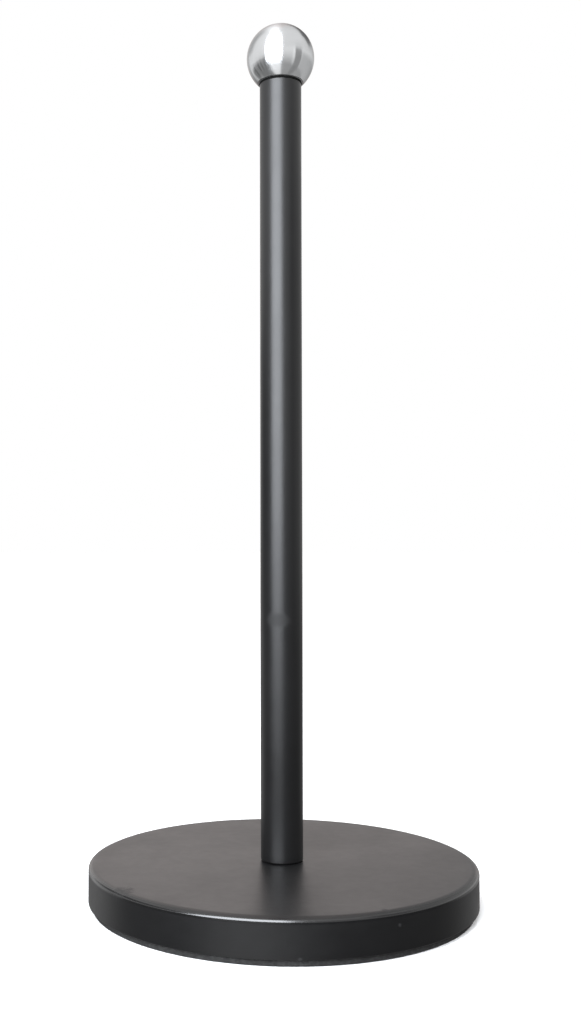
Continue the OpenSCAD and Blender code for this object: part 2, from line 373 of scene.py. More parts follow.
def noise(tree, vector, scale, detail=2.0, roughness=0.5):
    """A noise texture of about scale cells a metre. Returns its value."""
    node = node_of(tree, "ShaderNodeTexNoise")
    numbers = {"Vector": vector, "Scale": scale, "Detail": detail, "Roughness": roughness}
    for name, number in numbers.items():
        feed(tree, node.inputs[name], number)
    return node.outputs[0]


def blend_of(tree, part, first, second, kind="FLOAT"):
    """A Mix node of two numbers, or of two colours with kind RGBA. Returns its output."""
    node = node_of(tree, "ShaderNodeMix", data_type=kind)
    at = {"FLOAT": (2, 3, 0), "RGBA": (6, 7, 2)}[kind]
    feed(tree, node.inputs[0], part)
    feed(tree, node.inputs[at[0]], first)
    feed(tree, node.inputs[at[1]], second)
    return node.outputs[at[2]]


def new_group(name, inputs, outputs):
    """A shader node group of number inputs {name: default} and outputs. Returns (group, in, out)."""
    group = bpy.data.node_groups.new(name, "ShaderNodeTree")
    for label, default in inputs.items():
        socket = group.interface.new_socket(label, in_out="INPUT", socket_type="NodeSocketFloat")
        socket.default_value = default
    for label in outputs:
        group.interface.new_socket(label, in_out="OUTPUT", socket_type="NodeSocketFloat")
    return group, group.nodes.new("NodeGroupInput").outputs, group.nodes.new("NodeGroupOutput").inputs


def grain_group():
    """Fine grain, mid-size mottle and broad cloudiness of a coat, in Object coordinates."""
    scales = {"Grain scale": 1200.0, "Mottle scale": 250.0, "Cloud scale": 25.0}
    group, ins, outs = new_group("Surface grain", scales, ["Grain", "Mottle", "Cloud"])
    place = group.nodes.new("ShaderNodeTexCoord").outputs["Object"]
    for label in ("Grain", "Mottle", "Cloud"):
        group.links.new(noise(group, place, ins[label + " scale"], 3.0, 0.55), outs[label])
    return group


def dust_group():
    """Thin dust: a mask of fine specks and soft patches that is full on faces that look up."""
    group, ins, outs = new_group("Settled dust", {"Amount": 1.0}, ["Dust"])
    place = group.nodes.new("ShaderNodeTexCoord").outputs["Object"]
    parts = node_of(group, "ShaderNodeSeparateXYZ")
    group.links.new(group.nodes.new("ShaderNodeNewGeometry").outputs["Normal"], parts.inputs[0])
    specks = ramp(group, noise(group, place, 2600.0, 1.0), 0.66, 0.74)
    patches = ramp(group, noise(group, place, 45.0, 3.0), 0.35, 0.75, 0.1, 1.0)
    upward = ramp(group, parts.outputs[2], 0.2, 0.95, 0.15, 1.0)
    dust = calc(group, "MULTIPLY", calc(group, "ADD", calc(group, "MULTIPLY", specks, 0.8), 0.2), patches)
    dust = calc(group, "MULTIPLY", calc(group, "MULTIPLY", dust, upward), ins["Amount"])
    group.links.new(dust, outs["Dust"])
    return group


def mark_group():
    """A soft spot: 1 at a place in Object coordinates, 0 beyond its reach, with a ragged edge."""
    inputs = {"X": 0.0, "Y": 0.0, "Z": 0.0, "Reach": 0.005, "Flatness": 1.0, "Raggedness": 0.4}
    group, ins, outs = new_group("Spot mark", inputs, ["Mask"])
    place = group.nodes.new("ShaderNodeTexCoord").outputs["Object"]
    centre = node_of(group, "ShaderNodeCombineXYZ")
    for label in "XYZ":
        group.links.new(ins[label], centre.inputs[label])
    away = node_of(group, "ShaderNodeVectorMath", operation="SUBTRACT")
    group.links.new(place, away.inputs[0])
    group.links.new(centre.outputs[0], away.inputs[1])
    parts = node_of(group, "ShaderNodeSeparateXYZ")
    group.links.new(away.outputs[0], parts.inputs[0])
    flat = node_of(group, "ShaderNodeCombineXYZ")
    group.links.new(parts.outputs[0], flat.inputs[0])
    group.links.new(parts.outputs[1], flat.inputs[1])
    group.links.new(calc(group, "MULTIPLY", parts.outputs[2], ins["Flatness"]), flat.inputs[2])
    size = node_of(group, "ShaderNodeVectorMath", operation="LENGTH")
    group.links.new(flat.outputs[0], size.inputs[0])
    far = calc(group, "DIVIDE", size.outputs["Value"], ins["Reach"])
    uneven = calc(group, "SUBTRACT", noise(group, place, 900.0, 3.0), 0.5)
    ragged = calc(group, "MULTIPLY", uneven, ins["Raggedness"])
    group.links.new(ramp(group, calc(group, "ADD", far, ragged), 1.0, 0.4), outs["Mask"])
    return group


def ring_group():
    """A soft ring round the vertical axis: 1 at a radius and height, 0 beyond its reach."""
    group, ins, outs = new_group("Ring mark", {"Radius": 0.01, "Height": 0.0, "Reach": 0.001}, ["Mask"])
    parts = node_of(group, "ShaderNodeSeparateXYZ")
    group.links.new(group.nodes.new("ShaderNodeTexCoord").outputs["Object"], parts.inputs[0])
    squares = [calc(group, "MULTIPLY", parts.outputs[k], parts.outputs[k]) for k in (0, 1)]
    away = calc(group, "SUBTRACT", calc(group, "SQRT", calc(group, "ADD", *squares)), ins["Radius"])
    rise = calc(group, "SUBTRACT", parts.outputs[2], ins["Height"])
    far = calc(group, "SQRT", calc(
        group, "ADD", calc(group, "MULTIPLY", away, away), calc(group, "MULTIPLY", rise, rise)))
    group.links.new(ramp(group, calc(group, "DIVIDE", far, ins["Reach"]), 1.0, 0.3), outs["Mask"])
    return group


def turning_group():
    """Fine tool marks that run round the vertical axis: Lines for bumps, Bands for gloss."""
    scales = {"Line scale": 6000.0, "Band scale": 700.0}
    group, ins, outs = new_group("Turning marks", scales, ["Lines", "Bands"])
    place = group.nodes.new("ShaderNodeTexCoord").outputs["Object"]
    parts = node_of(group, "ShaderNodeSeparateXYZ")
    group.links.new(place, parts.inputs[0])
    square = [calc(group, "MULTIPLY", parts.outputs[k], parts.outputs[k]) for k in (0, 1)]
    away = calc(group, "SQRT", calc(group, "ADD", *square))
    across = node_of(group, "ShaderNodeCombineXYZ")
    group.links.new(away, across.inputs[0])
    group.links.new(parts.outputs[2], across.inputs[2])
    for label, scale in (("Lines", "Line scale"), ("Bands", "Band scale")):
        group.links.new(noise(group, across.outputs[0], ins[scale], 2.0), outs[label])
    return group


GROUPS = {
    "Surface grain": grain_group, "Settled dust": dust_group, "Spot mark": mark_group,
    "Ring mark": ring_group, "Turning marks": turning_group,
}


def use_group(tree, name, **values):
    """Places a group in a material with its own values, building it the first time. Returns its outputs."""
    node = node_of(tree, "ShaderNodeGroup", node_tree=bpy.data.node_groups.get(name) or GROUPS[name]())
    for key, value in values.items():
        feed(tree, node.inputs[key.replace("_", " ")], value)
    return node.outputs


def bump(tree, shader, height, strength, distance):
    """Bumps the shader's normal by a height."""
    node = node_of(tree, "ShaderNodeBump", in_Strength=strength, in_Distance=distance)
    tree.links.new(height, node.inputs["Height"])
    tree.links.new(node.outputs["Normal"], shader.inputs["Normal"])


# ---------------------------------------------------------------- finishes

# Wear on the paint: name: (x, y, z, reach in mm, flatness, raggedness)
WEAR = {
    "smudge": (-1.5, -7.7, 107, 6.2, 1.7, 0.45),
    "scuff": (-55.2, -45.2, 15.5, 5.5, 2.0, 1.6),
    "nick": (33.5, -62.2, 15.8, 1.7, 1.0, 0.8),
    "speck": (38.3, -62.1, 11.2, 0.8, 1.0, 0.5),
    "chip": (5.7, -72.8, 2.8, 0.9, 1.0, 0.5),
}
# Rings that handling has polished round the base's top edge: name: (inwards, down, reach in mm)
POLISH = {"shoulder": (0.6, 1.1, 1.6), "bend": (0.3, 1.3, 0.9)}


def powder_coat(tree, shader, finish):
    """Satin black powder coat: orange peel, cloudy gloss, a little dust, a few rubs, a polished bend."""
    coat = use_group(tree, "Surface grain", Grain_scale=1100.0, Mottle_scale=260.0, Cloud_scale=28.0)
    dust = use_group(tree, "Settled dust", Amount=0.05)["Dust"]
    mark = {}
    for name, (x, y, z, reach, flatness, raggedness) in WEAR.items():
        mark[name] = use_group(
            tree, "Spot mark", X=x * MM, Y=y * MM, Z=z * MM, Reach=reach * MM,
            Flatness=flatness, Raggedness=raggedness)["Mask"]
    for name, (inward, down, reach) in POLISH.items():
        mark[name] = use_group(
            tree, "Ring mark", Radius=radius("base_shell") - inward * MM,
            Height=top("base_shell") - down * MM, Reach=reach * MM)["Mask"]
    rubs = calc(tree, "MAXIMUM", mark["scuff"], mark["nick"])
    chips = calc(tree, "MAXIMUM", mark["speck"], mark["chip"])
    speckled_rubs = calc(tree, "MULTIPLY", rubs, ramp(tree, coat["Grain"], 0.45, 0.6))
    paint = blend_of(tree, dust, (*finish.paint, 1), (*finish.dust, 1), "RGBA")
    paint = blend_of(tree, calc(tree, "MULTIPLY", speckled_rubs, 0.02), paint, (*finish.rubbed, 1), "RGBA")
    paint = blend_of(tree, calc(tree, "MULTIPLY", chips, 0.06), paint, (*finish.chipped, 1), "RGBA")
    tree.links.new(paint, shader.inputs["Base Color"])
    rough = finish.paint_roughness
    gloss = ramp(tree, coat["Cloud"], 0.3, 0.7, rough - 0.02, rough + 0.03)
    gloss = calc(tree, "ADD", gloss, ramp(tree, coat["Mottle"], 0.3, 0.7, -0.01, 0.01))
    for mask, change in ((mark["smudge"], 0.24), (rubs, 0.15), (mark["shoulder"], -0.17)):
        gloss = calc(tree, "ADD", gloss, calc(tree, "MULTIPLY", mask, change))
    tree.links.new(gloss, shader.inputs["Roughness"])
    tree.links.new(calc(tree, "MULTIPLY", mark["bend"], 0.8), shader.inputs["Coat Weight"])
    shader.inputs["Coat Roughness"].default_value = 0.2
    peel = calc(tree, "ADD", coat["Grain"], calc(tree, "MULTIPLY", coat["Mottle"], 0.2))
    peel = calc(tree, "ADD", peel, calc(tree, "MULTIPLY", speckled_rubs, 2.0))
    bump(tree, shader, peel, 0.09, 0.0002)


def turned_steel(tree, shader, finish):
    """Turned and polished stainless: fine marks round the vertical axis smear reflections up and down."""
    coat = use_group(tree, "Surface grain", Grain_scale=2500.0, Mottle_scale=500.0, Cloud_scale=70.0)
    marks = use_group(tree, "Turning marks", Line_scale=5000.0, Band_scale=900.0)
    shader.inputs["Metallic"].default_value = 1.0
    shader.inputs["Anisotropic"].default_value = 0.9
    shader.inputs["Specular Tint"].default_value = (0.6, 0.6, 0.6, 1)
    shader.inputs["Anisotropic Rotation"].default_value = 0.25
    tangent = node_of(tree, "ShaderNodeTangent", direction_type="RADIAL", axis="Z")
    tree.links.new(tangent.outputs[0], shader.inputs["Tangent"])
    dull = tuple(part * 0.93 for part in finish.steel)
    steel = blend_of(tree, ramp(tree, coat["Cloud"], 0.35, 0.7), (*finish.steel, 1), (*dull, 1), "RGBA")
    tree.links.new(steel, shader.inputs["Base Color"])
    rough = finish.steel_roughness
    gloss = ramp(tree, marks["Bands"], 0.3, 0.7, rough - 0.025, rough + 0.025)
    gloss = calc(tree, "ADD", gloss, ramp(tree, coat["Mottle"], 0.5, 0.75, 0.0, 0.03))
    tree.links.new(gloss, shader.inputs["Roughness"])
    bump(tree, shader, marks["Lines"], 0.05, 0.00005)


def zinc_plate(tree, shader, finish):
    """Bright zinc plating: cloudy, with a fine grain and faint yellowish patches."""
    coat = use_group(tree, "Surface grain", Grain_scale=1800.0, Mottle_scale=450.0, Cloud_scale=120.0)
    shader.inputs["Metallic"].default_value = 1.0
    warm = (finish.zinc[0], finish.zinc[1] * 0.95, finish.zinc[2] * 0.86, 1)
    plate = blend_of(tree, ramp(tree, coat["Cloud"], 0.45, 0.75), (*finish.zinc, 1), warm, "RGBA")
    tree.links.new(plate, shader.inputs["Base Color"])
    tree.links.new(ramp(tree, coat["Mottle"], 0.3, 0.7, 0.24, 0.4), shader.inputs["Roughness"])
    bump(tree, shader, coat["Grain"], 0.12, 0.0001)


def foam_rubber(tree, shader, finish):
    """Matt closed-cell foam: small cells, dusty patches."""
    coat = use_group(tree, "Surface grain", Grain_scale=3200.0, Mottle_scale=900.0, Cloud_scale=80.0)
    pale = tuple(min(1, part * 2.2) for part in finish.foam)
    foam = blend_of(tree, ramp(tree, coat["Mottle"], 0.4, 0.7), (*finish.foam, 1), (*pale, 1), "RGBA")
    tree.links.new(foam, shader.inputs["Base Color"])
    tree.links.new(ramp(tree, coat["Cloud"], 0.3, 0.7, 0.75, 0.95), shader.inputs["Roughness"])
    cells = calc(tree, "ADD", coat["Grain"], coat["Mottle"])
    bump(tree, shader, cells, 0.5, 0.0003)


def cast_iron(tree, shader, finish):
    """Rough cast iron with rusty patches."""
    coat = use_group(tree, "Surface grain", Grain_scale=900.0, Mottle_scale=300.0, Cloud_scale=60.0)
    rusty = (finish.iron[0] * 2.2, finish.iron[1] * 1.2, finish.iron[2] * 0.7, 1)
    iron = blend_of(tree, ramp(tree, coat["Cloud"], 0.55, 0.75), (*finish.iron, 1), rusty, "RGBA")
    tree.links.new(iron, shader.inputs["Base Color"])
    shader.inputs["Metallic"].default_value = 0.6
    tree.links.new(ramp(tree, coat["Cloud"], 0.3, 0.7, 0.5, 0.85), shader.inputs["Roughness"])
    bump(tree, shader, calc(tree, "ADD", coat["Grain"], coat["Mottle"]), 0.7, 0.0005)


def black_plastic(tree, shader, finish):
    """Matt black plastic with a fine moulded grain, near black and barely reflecting: partly the washer's
    own colour, partly painted shade for the gap between the ball's mouth and the tube.
    """
    coat = use_group(tree, "Surface grain", Grain_scale=2600.0, Mottle_scale=700.0, Cloud_scale=200.0)
    pale = tuple(part * 1.6 for part in finish.plastic)
    plastic = blend_of(tree, coat["Cloud"], (*finish.plastic, 1), (*pale, 1), "RGBA")
    tree.links.new(plastic, shader.inputs["Base Color"])
    tree.links.new(ramp(tree, coat["Mottle"], 0.3, 0.7, 0.8, 0.95), shader.inputs["Roughness"])
    # Low reflection keeps the washer as dark as painted shade for the gap under the ball.
    shader.inputs["Specular IOR Level"].default_value = 0.15
    bump(tree, shader, coat["Grain"], 0.15, 0.0001)


FINISHES = {
    "satin_coat": powder_coat, "turned_steel": turned_steel, "bright_zinc": zinc_plate,
    "matt_foam": foam_rubber, "rough_iron": cast_iron, "matt_plastic_gap_shade": black_plastic,
}


def finish_named(name):
    """The finish of that name, built the first time it is asked for."""
    material = bpy.data.materials.get(name)
    if material is None:
        material = bpy.data.materials.new(name)
        material.use_nodes = True
        tree = material.node_tree
        FINISHES[name](tree, tree.nodes["Principled BSDF"], bpy.context.scene.holder_finish)
    return material


# ---------------------------------------------------------------- pieces of the base

class HOLDER_OT_base_shell(Operator):
    """Drawn steel lid: flat top, shouldered edge, straight skirt, with an even wall"""

    bl_idname = "holder.base_shell"
    bl_label = "Base shell"

    def execute(self, context):
        s = context.scene.holder_shapes
        r, up, down = radius("base_shell"), top("base_shell"), low("base_shell")
        wall = up - top("ballast")
        hole = spigot_radius(s) + s.spigot_room
        outer = shoulder_corners(r, up, s.shoulder, s.corner, s.shoulder_slope)
        inner = shoulder_corners(
            r - wall, up - wall, s.shoulder - wall, max(s.corner - wall, s.least_bend), s.shoulder_slope)
        profile = rounded([
            (r, down, s.sheet_edge),
            *outer,
            (hole, up, 0),
            (hole, up - wall, 0),
            *reversed(inner),
            (r - wall, down, s.sheet_edge),
        ], 12)
        mesh = lathe("base_shell", stepped(profile, s.mesh_step), s.wide_segments)
        finish_piece(mesh, "base_shell", "stand", "satin_coat")
        return {"FINISHED"}


class HOLDER_OT_foot_pad(Operator):
    """Foam ring under the base"""

    bl_idname = "holder.foot_pad"
    bl_label = "Foot pad"

    def execute(self, context):
        s = context.scene.holder_shapes
        r, up, down = radius("anti_slip_pad"), top("anti_slip_pad"), low("anti_slip_pad")
        profile = rounded([
            (r, down, s.pad_edge),
            (r, up, s.pad_shoulder),
            (s.pad_hole, up, s.fine_edge),
            (s.pad_hole, down, s.pad_edge),
        ])
        mesh = lathe("anti_slip_pad", stepped(profile, s.mesh_step), s.wide_segments)
        finish_piece(mesh, "anti_slip_pad", "stand", "matt_foam")
        return {"FINISHED"}


class HOLDER_OT_bottom_plate(Operator):
    """Pressed plate with a bent dish for the bolt's head"""

    bl_idname = "holder.bottom_plate"
    bl_label = "Bottom plate"

    def execute(self, context):
        s = context.scene.holder_shapes
        r, up, down = radius("bottom_plate"), top("bottom_plate"), low("bottom_plate")
        sheet = up - top("flat_washer")
        hole = s.bolt + s.bolt_room
        profile = rounded([
            (r, down, s.sheet_edge),
            (r, down + sheet, s.sheet_edge),
            (s.dish + sheet, down + sheet, s.dish_room),
            (s.dish + sheet, up, s.dish_bend + sheet),
            (hole, up, s.fine_edge),
            (hole, up - sheet, s.fine_edge),
            (s.dish, up - sheet, s.dish_bend),
            (s.dish, down, s.dish_room + sheet),
        ], 10)
        mesh = lathe("bottom_plate", stepped(profile, s.mesh_step), s.wide_segments)
        finish_piece(mesh, "bottom_plate", "stand", "bright_zinc")
        return {"FINISHED"}


class HOLDER_OT_ballast(Operator):
    """Cast disc with soft edges and a recess round the dish"""

    bl_idname = "holder.ballast"
    bl_label = "Ballast"

    def execute(self, context):
        s = context.scene.holder_shapes
        r, up, down = radius("ballast"), top("ballast"), low("ballast")
        sheet = top("bottom_plate") - top("flat_washer")
        recess = s.dish + sheet + s.dish_room
        ceiling = top("bottom_plate")
        hole = s.bolt + s.bolt_room
        profile = rounded([
            (r, down, s.cast_edge),
            (r, up, s.cast_edge),
            (hole, up, s.sheet_edge),
            (hole, ceiling, s.sheet_edge),
            (recess, ceiling, s.cast_edge),
            (recess, down, s.cast_edge),
        ], 8)
        mesh = lathe("ballast", stepped(profile, s.mesh_step), s.wide_segments)
        finish_piece(mesh, "ballast", "stand", "rough_iron")
        return {"FINISHED"}


class HOLDER_OT_base_bolt(Operator):
    """Hexagon bolt with a chamfered head and a cut thread"""

    bl_idname = "holder.base_bolt"
    bl_label = "Base bolt"

    def execute(self, context):
        s = context.scene.holder_shapes
        down, up = low("base_bolt"), top("base_bolt")
        corner = radius("base_bolt")
        half_flats = corner * math.cos(math.pi / 6)
        seat = low("lock_washer")
        root = s.bolt - s.bolt_thread
        face = s.head_face * half_flats
        chamfer = (corner - face) * math.tan(math.pi / 6)
        outline = [(0, down), (face, down), (corner, down + chamfer), (corner, seat), (root, seat)]
        head = stepped(np.array(outline), s.head_step, False)
        shank = column(root, seat, up - s.bolt_chamfer, s.bolt_pitch / ROWS_PER_PITCH)[1:]
        tip = np.array([(root - s.bolt_taper, up), (0, up)])
        helix = (s.bolt_pitch, s.bolt_thread, seat + s.bolt_pitch / 2, up - s.thread_end, root)
        mesh = lathe(
            "base_bolt", np.concatenate([head, shank, tip]), s.segments, helix,
            (half_flats, seat - SAME_HEIGHT), closed=False)
        finish_piece(mesh, "base_bolt", "stand", "bright_zinc")
        return {"FINISHED"}


class HOLDER_OT_washers(Operator):
    """Split lock washer and flat washer on the bolt, and the plastic washer under the ball, whose
    near-black finish is partly painted shade for the gap there
    """

    bl_idname = "holder.washers"
    bl_label = "Washers"

    def execute(self, context):
        s = context.scene.holder_shapes
        bolt_hole = s.bolt + s.washer_room
        stud_hole = radius("finial_stud") + s.loose
        split = s.washer_split / ((radius("lock_washer") + bolt_hole) / 2)
        for node, hole, gap, edge, body, slot, material in (
            ("lock_washer", bolt_hole, split, s.sheet_edge, "stand", "zinc_plate", "bright_zinc"),
            ("flat_washer", bolt_hole, 0.0, s.fine_edge, "stand", "zinc_plate", "bright_zinc"),
            # Near-black washer: partly real plastic, partly painted shade for the gap between the ball's
            # mouth and the tube.
            ("finial_washer", stud_hole, 0.0, s.fine_edge, "washer", "black_plastic", "matt_plastic_gap_shade"),
        ):
            r, up, down = radius(node), top(node), low(node)
            profile = rounded([(r, down, edge), (r, up, edge), (hole, up, edge), (hole, down, edge)], 6)
            mesh = lathe(node, profile, s.segments, gap=gap)
            finish_piece(mesh, node, body, material)
        return {"FINISHED"}


# ---------------------------------------------------------------- pieces of the post

def spigot_radius(s):
    """Radius of the foot plug's spigot: a step inside the tube's bore, in metres."""
    return radius("foot_plug") - s.spigot_step


def plug_outline(s, foot, r, up, spigot):
    """The outside corners of a plug: an optional spigot under foot, and two grip grooves."""
    start = [(spigot, low("foot_plug"), s.fine_edge), (spigot, foot, 0)] if spigot else []
    outline = [*start, (r, foot, s.fine_edge)]
    for part_way in (1 / 3, 2 / 3):
        z = foot + part_way * (up - foot)
        outline += [
            (r, z - s.groove_width / 2, 0), (r - s.groove_depth, z - s.groove_width / 2, 0),
            (r - s.groove_depth, z + s.groove_width / 2, 0), (r, z + s.groove_width / 2, 0)]
    return outline + [(r, up, s.fine_edge)]


class HOLDER_OT_post_tube(Operator):
    """Painted tube with rounded ends"""

    bl_idname = "holder.post_tube"
    bl_label = "Post tube"

    def execute(self, context):
        s = context.scene.holder_shapes
        r, bore = radius("post_tube"), radius("foot_plug")
        up, down = top("post_tube"), low("post_tube")
        profile = rounded([
            (r, down, s.post_foot),
            (r, up, s.post_head),
            (bore, up, s.fine_edge),
            (bore, down, s.fine_edge),
        ])
        mesh = lathe("post_tube", stepped(profile, s.mesh_step), s.segments)
        finish_piece(mesh, "post_tube", "stand", "satin_coat")
        return {"FINISHED"}


class HOLDER_OT_plugs(Operator):
    """Foot plug and head plug: grooved outside, threaded inside"""

    bl_idname = "holder.plugs"
    bl_label = "Plugs"

    def execute(self, context):
        s = context.scene.holder_shapes
        for node, foot, spigot, outer, pitch, depth in (
            ("foot_plug", low("post_tube"), spigot_radius(s), s.bolt, s.bolt_pitch, s.bolt_thread),
            ("head_plug", low("head_plug"), 0, radius("finial_stud"), s.stud_pitch, s.stud_thread),
        ):
            r, up, down = radius(node), top(node), low(node)
            bore_corners = [(r / 2, up, 0), (r / 2, down, 0)]
            outside = rounded(plug_outline(s, foot, r, up, spigot) + bore_corners, 5)[:-2]
            root = outer - depth + s.thread_room
            inside = column(root, up, down, pitch / ROWS_PER_PITCH)
            helix = (pitch, depth, down - 2 * pitch, up + 2 * pitch, root)
            mesh = lathe(node, np.concatenate([outside, inside]), s.segments, helix)
            finish_piece(mesh, node, "stand", "bright_zinc")
        return {"FINISHED"}


# ---------------------------------------------------------------- pieces of the finial

class HOLDER_OT_finial_ball(Operator):
    """Hollow ball with a flat-cut mouth"""

    bl_idname = "holder.finial_ball"
    bl_label = "Finial ball"

    def execute(self, context):
        s = context.scene.holder_shapes
        r = radius("finial_ball")
        inner = r - s.ball_wall
        middle = top("finial_ball") - r
        mouth = low("finial_ball")
        bore = radius("finial_bush")
        fall_in = math.acos(bore / inner)
        fall_out = math.asin((middle - mouth) / r)
        t = np.linspace(math.pi / 2, -fall_in, 64)
        inside = np.stack([inner * np.cos(t), middle + inner * np.sin(t)], -1)
        t = np.linspace(-fall_out + s.mouth_rim, math.pi / 2, 110)
        outside = np.stack([r * np.cos(t), middle + r * np.sin(t)], -1)
        lip = rounded([
            (*inside[-1], 0),
            (bore, mouth, s.fine_edge),
            (r * math.cos(fall_out), mouth, s.fine_edge),
            (*outside[0], 0),
        ], 6)[1:-1]
        mesh = lathe("finial_ball", np.concatenate([inside, lip, outside]), s.segments, closed=False)
        finish_piece(mesh, "finial_ball", "finial", "turned_steel")
        return {"FINISHED"}


class HOLDER_OT_finial_bush(Operator):
    """Turned bush in the ball's mouth: a flange, a boss and a blind bore for the stud"""

    bl_idname = "holder.finial_bush"
    bl_label = "Finial bush"

    def execute(self, context):
        s = context.scene.holder_shapes
        r, up, down = radius("finial_bush"), top("finial_bush"), low("finial_bush")
        bore, ceiling = radius("finial_stud"), top("finial_stud")
        profile = rounded([
            (0, ceiling, 0),
            (bore, ceiling, 0),
            (bore, down, s.fine_edge),
            (r, down, s.fine_edge),
            (r, down + s.flange, s.fine_edge),
            (s.boss, down + s.flange, s.fine_edge),
            (s.boss, up, s.fine_edge),
            (0, up, 0),
        ], 5)
        mesh = lathe("finial_bush", stepped(profile, s.mesh_step, False), s.segments, closed=False)
        finish_piece(mesh, "finial_bush", "finial", "bright_zinc")
        return {"FINISHED"}


class HOLDER_OT_finial_stud(Operator):
    """Threaded stud with chamfered ends"""

    bl_idname = "holder.finial_stud"
    bl_label = "Finial stud"

    def execute(self, context):
        s = context.scene.holder_shapes
        crest, up, down = radius("finial_stud"), top("finial_stud"), low("finial_stud")
        root = crest - s.stud_thread
        face = root - s.stud_taper
        rod = column(root, down + s.stud_chamfer, up - s.stud_chamfer, s.stud_pitch / ROWS_PER_PITCH)
        profile = np.concatenate([[(0, down), (face, down)], rod, [(face, up), (0, up)]])
        helix = (s.stud_pitch, s.stud_thread, down - s.thread_end, up + s.thread_end, root)
        mesh = lathe("finial_stud", profile, s.segments, helix, closed=False)
        finish_piece(mesh, "finial_stud", "finial", "bright_zinc")
        return {"FINISHED"}


# ---------------------------------------------------------------- stage

def patch(tree, under, place, box, value, soft):
    """Lays a soft-edged patch of brightness over another. place is two sockets, across and up; box is
    (left, right, lowest, highest) and soft (across, up) in the same units."""
    mask = calc(
        tree, "MULTIPLY",
        calc(tree, "MULTIPLY", ramp(tree, place[0], box[0] - soft[0], box[0] + soft[0]),
             ramp(tree, place[0], box[1] + soft[0], box[1] - soft[0])),
        calc(tree, "MULTIPLY", ramp(tree, place[1], box[2] - soft[1], box[2] + soft[1]),
             ramp(tree, place[1], box[3] + soft[1], box[3] - soft[1])))
    return blend_of(tree, mask, under, value)


def side_of(tree, x, y):
    """Direction round the object in degrees: 0 on the camera's side, more to the right."""
    turn = calc(tree, "ARCTAN2", x, calc(tree, "MULTIPLY", y, -1.0))
    return calc(tree, "MULTIPLY", turn, math.degrees(1))


